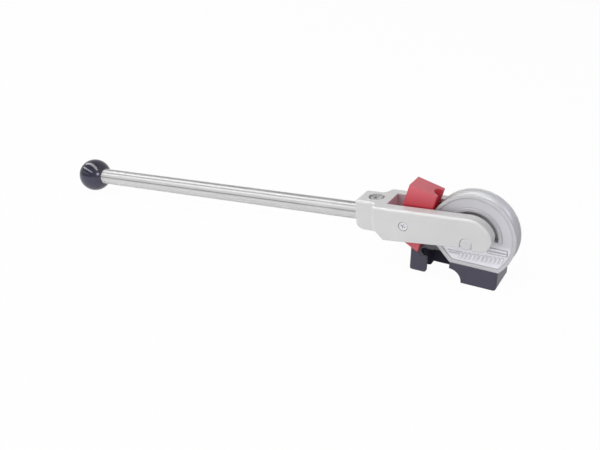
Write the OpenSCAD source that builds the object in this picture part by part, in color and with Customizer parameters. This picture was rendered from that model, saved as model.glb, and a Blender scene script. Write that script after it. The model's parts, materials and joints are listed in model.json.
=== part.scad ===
// Lever tube bender: a grooved former on a vice foot, and a forked lever that takes a tilting shoe round it.
// Frame: +X towards the bent end of the tube, +Y away from the viewer, +Z up, millimetres.
// Origin: on the underside of the base, straight below the pivot.

/* [Tube] */
// Outside diameter of the tube that is bent
tube_d = 15; // [10:0.5:18]
// Radius of the bend, to the tube's centre line
bend_r = 44; // [42:0.5:52]
// Clearance between a groove and the tube, per side
groove_clear = 0.1; // [0.05:0.05:0.4]

/* [Former] */
// Metal left on each side of the groove, at the rim
flange_t = 2; // [1.5:0.25:3]
// How far the rim stays inside the tube's centre line
rim_inset = 0.5; // [0.2:0.1:1.5]
// Width of the raised band round the rim
rim_band = 3.3; // [2:0.1:4]
// Depth of the face inside the rim band
face_step = 0.8; // [0.4:0.1:1.2]
// Metal between the groove's floor and the round recess
rim_wall = 9.9; // [8:0.1:11]
// Width of the raised lip round the recess
lip_w = 3.5; // [2:0.25:5]
// Thickness of the web between the two recesses
web_t = 5; // [3:0.25:7]
// Radius of the hub round the pivot pin
hub_r = 11; // [9:0.25:13]
// Height of the pivot above the lower end of the recess
recess_drop = 0.25; // [0.25:0.25:4]
// Width of the border round the foot's panel
panel_border = 4; // [3:0.25:5]
// How far the slanted cut goes below the groove's floor
foot_relief = 0.7; // [0.4:0.1:2]
// Depth of the index bar's top below the lower end of the recess
index_drop = 6.25; // [4:0.25:7]
// Height of the raised index bar on the panel
index_h = 6; // [3:0.25:7]
// Length of the index bar
index_len = 19; // [12:0.5:20]
// Gap between the index bar and the rim band
index_gap = 4; // [2.5:0.25:5]

/* [Base] */
// Height of the base
base_h = 19.5; // [17:0.5:24]
// Distance from the former's middle plane to the front of the base
base_front = 10; // [9.5:0.25:12.5]
// Distance from the former's middle plane to the back of the base
base_back = 31; // [24:0.5:36]
// Width of the leg that backs the tube, from its lip to its far side
leg_w = 18; // [14:0.1:24]
// How far the leg's lips reach past the tube's centre line
leg_lip = 2; // [1:0.1:4]
// Gap between the tube in its slot and the web behind it
web_gap = 2; // [1:0.25:4]
// Height of the leg's foot above the surface that the block stands on
leg_lift = 2.2; // [0.5:0.1:4]
// Gap between the resting shoe and the top of the leg
leg_gap = 1.2; // [0.8:0.1:2.5]
// Height of the arch under the web
arch_h = 6.5; // [5:0.5:9]
// Radius of the cove under the former's foot
cove_r = 13; // [10:0.5:14]
// Radius of the base's lower corners
corner_r = 3; // [1:0.25:4]
// Radius of the base's upright corners
upright_r = 2; // [1:0.25:4]

/* [Pivot] */
// Diameter of the pivot pin
pin_d = 12; // [9:0.25:13]
// Thickness of the spacer rings between hub and fork
spacer_t = 4.65; // [2.5:0.05:6]
// Chamfer on the ends of pins and screws
pin_chamfer = 0.8; // [0.4:0.1:1.2]

/* [Fork] */
// Thickness of each fork arm
arm_t = 12.5; // [11:0.25:16]
// Height of the fork's top above the pivot
arm_top = 26; // [25:0.25:28]
// Depth of the arms below the pivot, beside the pin
arm_drop = 4; // [3:0.25:5]
// Further depth of the arms at the closed end of the slot
arm_taper = 4; // [2:0.25:6]
// Radius of the long arc from the arms' tops to their noses
nose_r = 25; // [22:0.1:27]
// Radius of the noses' lower corners
nose_corner = 12; // [8:0.25:13]
// How far the noses reach past the pivot
nose_reach = 24.7; // [23.5:0.1:25.5]
// Depth of the noses below the pivot
nose_drop = 6; // [5:0.1:8]
// Distance from the pivot to the closed end of the slot
slot_end = 84.5; // [82:0.5:96]
// Length of solid metal from the slot to the end of the boss
boss_len = 35; // [30:0.5:42]
// Wall of the boss beside the handle
boss_wall = 6.5; // [5:0.25:9]
// Wall of the boss below the handle
boss_floor = 4.2; // [3:0.2:6]
// Radius of the boss's lower corner
boss_corner = 10; // [5:0.5:12]
// Length of the flat of the boss, before it swells into the arms
boss_flat = 16.3; // [10:0.1:17]
// Rounding of the fork's outer edges
edge_r = 3; // [1.5:0.25:4]

/* [Handle] */
// Outside diameter of the handle tube
rod_d = 18; // [16:0.5:20]
// Wall of the handle tube
rod_wall = 2; // [1.5:0.25:3]
// Height of the handle's axis above the pivot, square to the lever
rod_rise = 8.1; // [7.5:0.1:9]
// Distance along the lever from the pivot to the centre of the ball
ball_reach = 477.5; // [300:2.5:600]
// Diameter of the ball knob
ball_d = 38; // [32:1:44]
// Length of the plugs inside the handle tube
plug_len = 30; // [26:1:40]
// Metal between the handle's socket and the slot
socket_floor = 6; // [4:0.5:8]

/* [Shoe] */
// Metal of the shoe on each side of its groove
shoe_cheek = 4.75; // [3:0.25:5.5]
// Length of the shoe above its pin
shoe_up = 37; // [30:0.5:40]
// Length of the shoe below its pin
shoe_down = 28; // [24:0.5:30]
// Slope of the shoe's lower end
shoe_heel = 15; // [5:0.5:20]
// Metal of the shoe behind its pin
shoe_back = 10.5; // [9:0.25:14]
// Distance from the pivot to the shoe's pin, along the lever
shoe_reach = 63; // [62:0.5:66]
// Height of the shoe's pin above the pivot, square to the lever
shoe_rise = 9.5; // [8:0.1:11]
// Tilt of the resting shoe from square to the former
shoe_tilt = 10; // [6:0.5:12]
// Gap between the resting shoe and the former's rim
shoe_gap = 0.5; // [0.4:0.1:1.5]

/* [Fasteners] */
// Diameter of the shoe pin's shoulder
shoe_pin_d = 7; // [6:0.25:10]
// Wall of the shoe's bush
bush_wall = 1.5; // [1:0.1:2.5]
// Diameter of the screw that clamps the handle
clamp_d = 8; // [6:0.5:8]
// Distance from the end of the boss to the clamp screw
clamp_inset = 18; // [14:0.5:20]
// Diameter of the screw under the former
foot_screw_d = 8; // [6:0.5:8]
// Diameter of the dowels under the former
dowel_d = 4; // [3:0.25:4.5]

/* [Clearances] */
// Radial running clearance of the pins that turn
run_clear = 0.05; // [0.03:0.01:0.09]
// Gap round pieces that are pressed or screwed together
seat_clear = 0.03; // [0.02:0.01:0.05]
// Side play of the spacers between the faces that they part
side_play = 0.35; // [0.3:0.05:0.6]
// Gap between the fork's sweep and the top of the base
sweep_clear = 5.55; // [2:0.05:7]
// Room round a screw head in its counterbore
head_room = 1; // [0.6:0.1:1.5]

/* [Hidden] */
$fn = 96;
// Overcut, so that a cut passes through the face that it opens
cut = 1;
// Side of the cutting blocks that trim a solid at a plane
trim = 200;

// Former
groove_r = tube_d / 2 + groove_clear;
former_t = tube_d + 2 * flange_t;
former_r = bend_r - rim_inset;
groove_floor = bend_r - groove_r;
foot_cut = groove_floor - foot_relief;
recess_r = groove_floor - rim_wall;
hub_ledge = 0.8;
field_r = former_r - rim_band;

// Fork: the nose's long arc touches the top line and the lower corner's circle,
// and its sweep sets the height of the base's top
corner_x = nose_reach - nose_corner;
corner_z = nose_corner - nose_drop;
nose_z = arm_top - nose_r;
nose_x = corner_x - sqrt(pow(nose_r - nose_corner, 2) - pow(corner_z - nose_z, 2));
nose_sweep = norm([nose_x, nose_z]) + nose_r;
foot_drop = nose_sweep + sweep_clear;
slot_w = former_t + 2 * (spacer_t + side_play);
fork_w = slot_w + 2 * arm_t;
boss_w = rod_d + 2 * boss_wall;
boss_end = slot_end + boss_len;
boss_low = rod_rise - rod_d / 2 - boss_floor;
arm_low = -arm_drop - arm_taper;
shoulder_r = (fork_w - boss_w) / 4;
shoulder_s = boss_end - boss_flat;
heel_cut = 8;

// Handle
plug_d = rod_d - 2 * rod_wall - 2 * seat_clear;
rod_in = slot_end + socket_floor;
ball_flat_d = rod_d + 1.5;
ball_flat = sqrt(pow(ball_d / 2, 2) - pow(ball_flat_d / 2, 2));
rod_out = ball_reach - ball_flat;
insert_d = rod_d * 0.75;
insert_len = 16;
stud_d = 10;
stud_len = 14;

// Base and pivot: the lever rests with its ball on the surface that the base stands on
pivot_h = base_h + foot_drop;
lever_rest = atan(rod_rise / ball_reach) + asin((pivot_h - ball_d / 2) / norm([rod_rise, ball_reach]));
base_right = sqrt(pow(former_r, 2) - pow(foot_drop, 2));
block_left = foot_drop - sqrt(2) * foot_cut;
lip_x = leg_lip - bend_r;
base_left = lip_x - leg_w;
web_y = tube_d / 2 + web_gap;

// Shoe: at rest it leans until its face is shoe_gap from the rim
shoe_w = tube_d + 2 * shoe_cheek;
shoe_polar = atan(shoe_rise / shoe_reach);
shoe_dist = norm([shoe_reach, shoe_rise]);
shoe_face = shoe_dist * cos(shoe_tilt) - former_r - shoe_gap;
shoe_groove = shoe_dist - bend_r;
bush_d = shoe_pin_d + 2 * (run_clear + bush_wall);
shoe_spacer_t = (slot_w - shoe_w) / 2 - side_play;

// Fasteners
shoe_head_d = shoe_pin_d + 1.6;
shoe_head_h = 4;
shoe_sink = shoe_head_h + 0.6;
shoe_thread_d = shoe_pin_d - 2;
nut_af = 1.7 * shoe_thread_d;
nut_h = 0.8 * shoe_thread_d;
nut_washer_d = 2 * shoe_thread_d;
nut_washer_t = 1.2;
nut_sink = nut_h + nut_washer_t + 1;
clamp_s = boss_end - clamp_inset;
clamp_head_d = 1.6 * clamp_d;
clamp_head_h = 3.2;
clamp_washer_t = 1;
clamp_washer_d = 1.9 * clamp_d;
clamp_sink_d = clamp_washer_d + 2 * head_room - 0.4;
clamp_sink = clamp_head_h + clamp_washer_t + 0.8;
clamp_tip = rod_rise - 2;
foot_head_d = 1.6 * foot_screw_d;
foot_head_h = foot_screw_d;
foot_sink = foot_head_h + 1;
foot_thread = 12;
foot_land = 2.4;
foot_screw_x = foot_land + (foot_head_d + head_room) / 2;
dowels = [block_left + cove_r / 2, 0];
dowel_seat = 6;

// Places a child at the pivot
module at_pivot() {
    translate([0, 0, pivot_h]) children();
}

// Places a child in the lever's frame: origin on the pivot, handle along -X
module on_lever() {
    at_pivot() rotate([0, -lever_rest, 0]) children();
}

// Places a child on the shoe's pin, square to the lever
module on_shoe_pin() {
    on_lever() translate([-shoe_reach, 0, shoe_rise]) children();
}

// Places a child in the shoe's frame: origin on its pin, groove towards +X
module in_shoe() {
    on_shoe_pin() rotate([0, shoe_polar + shoe_tilt, 0]) children();
}

// Turns a child's Z axis along +Y
module along_y() {
    rotate([-90, 0, 0]) children();
}

// Turns a child's Z axis along the handle, away from the pivot
module along_handle() {
    rotate([0, -90, 0]) children();
}

// Round bar along Z with a chamfer at both ends
module chamfered_bar(d, len, chamfer) {
    rotate_extrude()
        polygon([
            [0, 0], [d / 2 - chamfer, 0], [d / 2, chamfer],
            [d / 2, len - chamfer], [d / 2 - chamfer, len], [0, len]
        ]);
}

// Ring along Z
module ring(outer_d, inner_d, len) {
    difference() {
        cylinder(d = outer_d, h = len);
        translate([0, 0, -cut]) cylinder(d = inner_d, h = len + 2 * cut);
    }
}

// Two-dimensional waste left outside a rounded corner at the origin, in the quarter x < 0, y < 0
module corner_waste(r) {
    difference() {
        translate([-r, -r]) square(r + cut);
        translate([-r, -r]) circle(r);
    }
}

// Places a cutting block, in the shoe's frame, on the plane that is gap below the shoe's sloping lower end
module shoe_end(gap) {
    translate([shoe_face, 0, -shoe_down])
        rotate([0, shoe_heel, 0])
            translate([-trim / 2, -trim / 2, -gap]) children();
}

// Waste outside a rounded lower corner of the base, along Y, with its edge on the local origin
module base_corner_waste() {
    translate([0, base_back + cut, 0])
        rotate([90, 0, 0])
            linear_extrude(base_front + base_back + 2 * cut)
                mirror([0, 1]) corner_waste(corner_r);
}

// Upper end of the leg, which slopes like the resting shoe's lower end
module leg_horn() {
    difference() {
        translate([base_left, -base_front, base_h - cut])
            cube([leg_w, base_front + web_y, pivot_h - base_h]);
        in_shoe() shoe_end(leg_gap) cube(trim);
    }
}

module base() {
    color("#3b3a42")
        difference() {
            union() {
                translate([base_left, -base_front, 0])
                    cube([base_right - base_left, base_front + base_back, base_h]);
                leg_horn();
            }
            // Space in front of the web, between leg and block
            translate([lip_x, -base_front - cut, -cut])
                cube([block_left - lip_x, base_front + web_y + cut, base_h + 2 * cut]);
            // Slot that holds the straight end of the tube
            translate([-bend_r, 0, -cut])
                cylinder(r = groove_r, h = pivot_h);
            translate([-bend_r, -groove_r, -cut])
                cube([leg_lip + cut, 2 * groove_r, pivot_h]);
            // Cove under the former's foot
            translate([block_left, -base_front - cut, 0])
                along_y() cylinder(r = cove_r, h = base_front + web_y + cut);
            // Arch under the web
            translate([lip_x, web_y - cut, -cut])
                cube([block_left + cove_r - lip_x, base_back - web_y + 2 * cut, arch_h + cut]);
            // Raised foot of the leg
            translate([base_left - cut, -base_front - cut, -cut])
                cube([leg_w + 2 * cut, base_front + base_back + 2 * cut, leg_lift + cut]);
            // Rounded upright corners
            for (back = [0, 1])
                translate([0, back ? base_back : -base_front, -cut])
                    mirror([0, 1 - back, 0]) {
                        translate([base_right, 0, 0])
                            linear_extrude(base_h + 2 * cut) corner_waste(upright_r);
                        translate([base_left, 0, 0])
                            linear_extrude(pivot_h) mirror([1, 0]) corner_waste(upright_r);
                    }
            // Rounded lower corners
            translate([base_right, 0, 0]) base_corner_waste();
            translate([base_left, 0, leg_lift]) mirror([1, 0, 0]) base_corner_waste();
            translate([lip_x, 0, leg_lift]) base_corner_waste();
            // Screw hole and dowel holes under the former
            translate([foot_screw_x, 0, -cut]) {
                cylinder(d = foot_screw_d + 2 * seat_clear, h = base_h + 2 * cut);
                cylinder(d = foot_head_d + head_room, h = foot_sink + cut);
            }
            for (x = dowels)
                translate([x, 0, base_h - dowel_seat])
                    cylinder(d = dowel_d + 2 * seat_clear, h = dowel_seat + cut);
        }
}

// Keeps what a sketch of the former's face has above the lower end of the recess
module above_panel() {
    intersection() {
        children();
        translate([-trim / 2, -recess_drop]) square(trim);
    }
}

// Sketch of the sunk field: it leaves the rim band, the lip, the hub, the index bar and the panel's border
module field_sketch() {
    difference() {
        intersection() {
            circle(field_r);
            translate([-trim / 2, -foot_drop + panel_border]) square(trim);
            rotate(45) translate([-foot_cut + panel_border, -trim / 2]) square(trim);
        }
        above_panel()
            difference() {
                circle(recess_r + lip_w);
                circle(recess_r - cut);
            }
        translate([field_r - index_gap - index_len, -recess_drop - index_drop - index_h])
            square([index_len, index_h]);
        circle(hub_r + hub_ledge);
    }
}

// Sketch of the round recess, with the hub left standing
module recess_sketch() {
    above_panel()
        difference() {
            circle(recess_r);
            circle(hub_r);
        }
}

module former() {
    color("#b9babd")
        at_pivot()
            difference() {
                rotate([90, 0, 0])
                    difference() {
                        translate([0, 0, -former_t / 2]) cylinder(r = former_r, h = former_t);
                        // Half-round groove for the tube
                        rotate_extrude() translate([bend_r, 0]) circle(groove_r);
                        // Sunk field and round recess on both faces
                        for (side = [0, 1])
                            mirror([0, 0, side]) {
                                translate([0, 0, former_t / 2 - face_step])
                                    linear_extrude(face_step + cut) field_sketch();
                                translate([0, 0, web_t / 2])
                                    linear_extrude(former_t) recess_sketch();
                            }
                        // Bore for the pivot pin
                        translate([0, 0, -former_t]) cylinder(d = pin_d + 2 * seat_clear, h = 2 * former_t);
                    }
                // Flat of the foot
                translate([-trim / 2, -trim / 2, -foot_drop - trim]) cube(trim);
                // Slanted cut that frees the tube's straight end
                rotate([0, -45, 0]) translate([-foot_cut - trim, -trim / 2, -trim / 2]) cube(trim);
                // Tapped hole and dowel holes
                translate([foot_screw_x, 0, -foot_drop - cut])
                    cylinder(d = foot_screw_d + 2 * seat_clear, h = foot_thread + 2 * cut);
                for (x = dowels)
                    translate([x, 0, -foot_drop - cut])
                        cylinder(d = dowel_d + 2 * seat_clear, h = dowel_seat + cut);
            }
}

module former_screw() {
    color("#4a4b50")
        translate([foot_screw_x, 0, 0])
            difference() {
                union() {
                    translate([0, 0, foot_sink - foot_head_h]) cylinder(d = foot_head_d, h = foot_head_h);
                    translate([0, 0, foot_sink - cut])
                        cylinder(d = foot_screw_d, h = base_h + foot_thread - foot_sink + cut);
                }
                // Hexagon socket
                translate([0, 0, foot_sink - foot_head_h - cut])
                    cylinder(d = foot_screw_d * 0.9, h = foot_head_h / 2 + cut, $fn = 6);
            }
}

module former_dowels() {
    color("#9a9ba0")
        for (x = dowels)
            translate([x, 0, base_h - dowel_seat])
                chamfered_bar(dowel_d, 2 * dowel_seat, pin_chamfer);
}

module pivot_pin() {
    color("#c4c5c8")
        at_pivot()
            translate([0, -fork_w / 2, 0])
                along_y() chamfered_bar(pin_d, fork_w, pin_chamfer);
}

module pivot_spacers() {
    color("#8e8f94")
        at_pivot()
            for (side = [0, 1])
                mirror([0, side, 0])
                    translate([0, former_t / 2, 0])
                        along_y() ring(2 * hub_r, pin_d + 2 * seat_clear, spacer_t);
}

// Half of the fork seen from above: s along the handle, y outwards
module fork_plan_half() {
    inner = shoulder_s - 2 * shoulder_r;
    difference() {
        union() {
            translate([-nose_reach - cut, 0]) square([inner + nose_reach + cut, fork_w / 2]);
            translate([-nose_reach - cut, 0])
                square([shoulder_s + nose_reach + cut, fork_w / 2 - shoulder_r]);
            translate([inner, fork_w / 2 - shoulder_r]) circle(shoulder_r);
        }
        translate([shoulder_s, boss_w / 2 + shoulder_r]) circle(shoulder_r);
    }
}

// Waste outside the rounded end of the boss, on one side of the fork
module boss_end_waste() {
    translate([-boss_end, boss_w / 2, -trim / 2])
        linear_extrude(trim) mirror([1, 0]) corner_waste(edge_r);
    translate([-boss_end, boss_w / 2 + cut, arm_top])
        rotate([90, 0, 0])
            linear_extrude(boss_w / 2 + 2 * cut) mirror([1, 0]) corner_waste(edge_r);
    translate([-boss_end + edge_r, boss_w / 2 - edge_r, arm_top])
        rotate([0, 0, 90])
            rotate_extrude(angle = 90)
                intersection() {
                    translate([edge_r, 0]) corner_waste(edge_r);
                    // Keeps the sketch on one side of the axis that it turns about
                    translate([0, -edge_r]) square(edge_r + cut);
                }
}

// Waste outside the rounded top edge of one side of the fork: boss, shoulder, arm and nose in turn
module fork_top_waste() {
    inner = shoulder_s - 2 * shoulder_r;
    translate([-boss_end - cut, boss_w / 2, arm_top])
        rotate([90, 0, 90])
            linear_extrude(boss_flat + cut) corner_waste(edge_r);
    translate([-shoulder_s, boss_w / 2 + shoulder_r, arm_top])
        rotate([0, 0, -90])
            rotate_extrude(angle = 90)
                translate([shoulder_r, 0]) mirror([1, 0]) corner_waste(edge_r);
    translate([-inner, fork_w / 2 - shoulder_r, arm_top])
        rotate([0, 0, 90])
            rotate_extrude(angle = 90)
                translate([shoulder_r, 0]) corner_waste(edge_r);
    translate([-inner, fork_w / 2, arm_top])
        rotate([90, 0, 90])
            linear_extrude(inner + nose_x) corner_waste(edge_r);
    // The rounding follows the long arc, and so fades out on the lower corner
    translate([nose_x, fork_w / 2, nose_z])
        rotate([-90, 0, 0])
            rotate([0, 0, -90])
                rotate_extrude(angle = 180)
                    translate([nose_r, 0]) corner_waste(edge_r);
}

// Side view of the arms, in the lever's X and Z
module arm_side() {
    // Long arc of the nose, from the top line to the lower corner
    translate([nose_x, nose_z])
        intersection() {
            circle(nose_r);
            polygon([[0, 0], nose_r * [corner_x - nose_x, corner_z - nose_z], [0, nose_r * nose_r]]);
        }
    translate([corner_x, corner_z]) circle(nose_corner);
    polygon([
        [nose_x, arm_top],
        [-boss_end, arm_top],
        [-boss_end, arm_low + heel_cut],
        [-slot_end - heel_cut, arm_low + heel_cut],
        [-slot_end, arm_low],
        [-pin_d / 2, -arm_drop],
        [pin_d / 2, -nose_drop],
        [corner_x, -nose_drop],
        [corner_x, corner_z],
        [nose_x, nose_z]
    ]);
}

// Side view of the boss, in the lever's X and Z
module boss_side() {
    difference() {
        translate([-boss_end, boss_low]) square([boss_len, arm_top - boss_low]);
        difference() {
            translate([-boss_end - cut, boss_low - cut]) square(boss_corner + cut);
            translate([-boss_end + boss_corner, boss_low + boss_corner]) circle(boss_corner);
        }
    }
}

// Solid of the fork before its slot and holes are cut
module fork_blank() {
    difference() {
        union() {
            intersection() {
                rotate([90, 0, 0]) linear_extrude(fork_w, center = true) arm_side();
                translate([0, 0, -trim / 2])
                    linear_extrude(trim)
                        mirror([1, 0]) {
                            fork_plan_half();
                            mirror([0, 1]) fork_plan_half();
                        }
            }
            rotate([90, 0, 0]) linear_extrude(boss_w, center = true) boss_side();
        }
        for (side = [0, 1])
            mirror([0, side, 0]) {
                boss_end_waste();
                fork_top_waste();
            }
    }
}

module fork() {
    color("#c9cac8")
        on_lever()
            difference() {
                fork_blank();
                // Slot for former and shoe
                translate([-slot_end, -slot_w / 2, -trim / 2]) cube([trim, slot_w, trim]);
                // Open notches that hook over the pivot pin
                along_y() cylinder(d = pin_d + 2 * run_clear, h = trim, center = true);
                translate([-pin_d / 2 - run_clear, -trim / 2, -trim])
                    cube([pin_d + 2 * run_clear, trim, trim]);
                // Socket for the handle
                translate([-rod_in + seat_clear, 0, rod_rise])
                    along_handle() cylinder(d = rod_d + 2 * seat_clear, h = trim);
                // Hole and counterbore for the clamp screw
                translate([-clamp_s, 0, rod_rise]) cylinder(d = clamp_d + 2 * seat_clear, h = trim);
                translate([-clamp_s, 0, arm_top - clamp_sink]) cylinder(d = clamp_sink_d, h = trim);
                // Cross hole and counterbores for the shoe's pin
                translate([-shoe_reach, 0, shoe_rise])
                    along_y() {
                        cylinder(d = shoe_pin_d + 2 * seat_clear, h = trim, center = true);
                        translate([0, 0, -trim - fork_w / 2 + shoe_sink])
                            cylinder(d = shoe_head_d + head_room, h = trim);
                        translate([0, 0, fork_w / 2 - nut_sink])
                            cylinder(d = nut_washer_d + head_room, h = trim);
                    }
            }
}

module handle_tube() {
    color("#d3d4d6")
        on_lever()
            difference() {
                translate([-rod_in, 0, rod_rise])
                    along_handle() ring(rod_d, rod_d - 2 * rod_wall, rod_out - rod_in);
                translate([-clamp_s, 0, rod_rise]) cylinder(d = clamp_d + 2 * seat_clear, h = trim);
            }
}

module handle_plug() {
    color("#8e8f94")
        on_lever()
            difference() {
                translate([-rod_in, 0, rod_rise]) along_handle() chamfered_bar(plug_d, plug_len, pin_chamfer);
                translate([-clamp_s, 0, clamp_tip - cut]) cylinder(d = clamp_d + 2 * seat_clear, h = trim);
            }
}

module clamp_screw() {
    seat = arm_top - clamp_sink + clamp_washer_t;
    color("#6c6d72")
        on_lever()
            translate([-clamp_s, 0, 0])
                difference() {
                    union() {
                        translate([0, 0, seat]) cylinder(d = clamp_head_d, h = clamp_head_h);
                        translate([0, 0, clamp_tip]) cylinder(d = clamp_d, h = seat + cut - clamp_tip);
                    }
                    // Hexagon socket
                    translate([0, 0, seat + clamp_head_h / 4])
                        cylinder(d = clamp_head_d / 2, h = clamp_head_h, $fn = 6);
                }
}

module clamp_washer() {
    color("#a5a6aa")
        on_lever()
            translate([-clamp_s, 0, arm_top - clamp_sink])
                ring(clamp_washer_d, clamp_d + 2 * seat_clear, clamp_washer_t);
}

module knob_stud() {
    color("#8e8f94")
        on_lever()
            translate([-rod_out, 0, rod_rise])
                along_handle() {
                    translate([0, 0, -plug_len]) cylinder(d = plug_d, h = plug_len);
                    translate([0, 0, -cut]) cylinder(d = stud_d, h = stud_len + cut);
                }
}

module ball_knob() {
    color("#23232c")
        on_lever()
            difference() {
                translate([-ball_reach, 0, rod_rise]) sphere(d = ball_d);
                translate([-rod_out, -trim / 2, rod_rise - trim / 2]) cube(trim);
                translate([-rod_out + cut, 0, rod_rise])
                    along_handle() cylinder(d = insert_d + 2 * seat_clear, h = insert_len + cut);
            }
}

module knob_insert() {
    color("#b08d4a")
        on_lever()
            translate([-rod_out, 0, rod_rise])
                along_handle() ring(insert_d, stud_d + 2 * seat_clear, insert_len);
}

module shoe_pin() {
    head_floor = -fork_w / 2 + shoe_sink;
    shoulder_end = fork_w / 2 - nut_sink - seat_clear;
    thread_end = shoulder_end + nut_washer_t + nut_h;
    slot_size = shoe_head_d * 0.62;
    color("#a5a6aa")
        on_shoe_pin()
            along_y()
                difference() {
                    union() {
                        translate([0, 0, head_floor - shoe_head_h])
                            cylinder(d = shoe_head_d, h = shoe_head_h);
                        translate([0, 0, head_floor - cut])
                            cylinder(d = shoe_pin_d, h = shoulder_end - head_floor + cut);
                        translate([0, 0, shoulder_end - cut])
                            cylinder(d = shoe_thread_d, h = thread_end - shoulder_end + cut);
                    }
                    // Cross recess in the head
                    for (turn = [20, 110])
                        translate([0, 0, head_floor - shoe_head_h])
                            rotate([0, 0, turn])
                                cube([slot_size, slot_size / 4, shoe_head_h], center = true);
                }
}

module shoe_pin_washer() {
    color("#a5a6aa")
        on_shoe_pin()
            along_y()
                translate([0, 0, fork_w / 2 - nut_sink])
                    ring(nut_washer_d, shoe_thread_d + 2 * seat_clear, nut_washer_t);
}

module shoe_pin_nut() {
    color("#6c6d72")
        on_shoe_pin()
            along_y()
                translate([0, 0, fork_w / 2 - nut_sink + nut_washer_t])
                    difference() {
                        cylinder(d = nut_af / cos(30), h = nut_h, $fn = 6);
                        translate([0, 0, -cut])
                            cylinder(d = shoe_thread_d + 2 * seat_clear, h = nut_h + 2 * cut);
                    }
}

module shoe_spacers() {
    color("#8e8f94")
        on_shoe_pin()
            for (side = [0, 1])
                mirror([0, side, 0])
                    translate([0, slot_w / 2 - shoe_spacer_t, 0])
                        along_y() ring(bush_d + 2 * bush_wall, shoe_pin_d + 2 * seat_clear, shoe_spacer_t);
}

module shoe() {
    color("#b3202c")
        in_shoe()
            difference() {
                translate([-shoe_back, -shoe_w / 2, -shoe_down])
                    cube([shoe_back + shoe_face, shoe_w, shoe_down + shoe_up]);
                // Half-round groove for the tube
                translate([shoe_groove, 0, -trim / 2]) cylinder(r = groove_r, h = trim);
                // Bore for the bush
                along_y() cylinder(d = bush_d + 2 * seat_clear, h = trim, center = true);
                // Sloping lower end
                shoe_end(trim) cube(trim);
            }
}

module shoe_bush() {
    color("#b08d4a")
        in_shoe()
            translate([0, -shoe_w / 2, 0])
                along_y() ring(bush_d, shoe_pin_d + 2 * run_clear, shoe_w);
}

base();
former();
former_screw();
former_dowels();
pivot_pin();
pivot_spacers();
fork();
handle_tube();
handle_plug();
clamp_screw();
clamp_washer();
knob_stud();
ball_knob();
knob_insert();
shoe_pin();
shoe_pin_washer();
shoe_pin_nut();
shoe_spacers();
shoe();
shoe_bush();
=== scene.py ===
"""Looks of a lever tube bender: finishes, cast relief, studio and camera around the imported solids."""

import json
import logging
import math
from abc import ABC, abstractmethod
from dataclasses import dataclass
from enum import Enum
from typing import Callable, Iterable, Sequence

import bmesh
import bpy
from mathutils import Matrix, Vector


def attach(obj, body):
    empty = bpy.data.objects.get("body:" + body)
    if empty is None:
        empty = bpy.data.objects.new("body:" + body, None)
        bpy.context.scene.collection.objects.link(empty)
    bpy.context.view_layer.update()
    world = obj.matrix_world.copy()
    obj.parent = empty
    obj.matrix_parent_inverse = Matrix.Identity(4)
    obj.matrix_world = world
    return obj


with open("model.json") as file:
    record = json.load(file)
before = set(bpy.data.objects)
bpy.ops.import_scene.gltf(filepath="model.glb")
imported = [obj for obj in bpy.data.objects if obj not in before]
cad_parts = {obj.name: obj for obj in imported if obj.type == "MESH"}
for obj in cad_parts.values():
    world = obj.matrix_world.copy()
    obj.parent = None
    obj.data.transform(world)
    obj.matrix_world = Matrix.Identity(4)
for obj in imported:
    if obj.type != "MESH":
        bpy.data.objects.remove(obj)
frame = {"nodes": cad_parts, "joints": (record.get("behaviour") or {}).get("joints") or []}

Colour = tuple[float, float, float]
Triple = tuple[float, float, float]
Span = tuple[float, float]
Socket = bpy.types.NodeSocket

LOG = logging.getLogger("bender")
MM = 0.001
WHITE: Colour = (1.0, 1.0, 1.0)

# Places in the lever's own frame: shoe pin along and above the lever, handle above it
SHOE_PIN_REACH = 63.0 * MM
SHOE_PIN_RISE = 9.5 * MM
HANDLE_RISE = 8.1 * MM

# Heights of the long lamps: the strips hang above the streaks, so as not to cut their reflections
STRIP_RISE = 1.58
STREAK_RISE = 1.52


class Body(Enum):
    """The moving groups of the bender."""

    STAND = "stand"
    LEVER = "lever"
    SHOE = "shoe"


class Grain(Enum):
    """How a metal surface was made."""

    TURNED = "turned round the axis"
    GROUND = "ground on the flat"


class Axis(Enum):
    """Direction in the part's frame that a bar or pin runs along."""

    ACROSS = (0.0, 1.0, 0.0)
    UPRIGHT = (0.0, 0.0, 1.0)
    LEVER = (1.0, 0.0, 0.0)


class Use(Enum):
    """What a lamp is there for."""

    LIGHT = "lights the part and isn't seen in it"
    MIRROR = "is seen in the part and doesn't light it"


def shade(colour: Colour, factor: float) -> Colour:
    """Returns a colour made lighter or darker by a factor."""
    return tuple(min(1.0, max(0.0, c * factor)) for c in colour)


def combine(tree: bpy.types.NodeTree, operation: str, first: Socket, second: Socket | float) -> Socket:
    """Adds a calculation with two values to a node tree.

    Args:
        tree: The node tree.
        operation: The calculation's name in the node.
        first: The first value.
        second: The second value, or a constant.

    Returns:
        The result's socket.
    """
    node = tree.nodes.new("ShaderNodeMath")
    node.operation = operation
    for socket, value in zip(node.inputs, (first, second)):
        if isinstance(value, float):
            socket.default_value = value
        else:
            tree.links.new(value, socket)
    return node.outputs["Value"]


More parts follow.
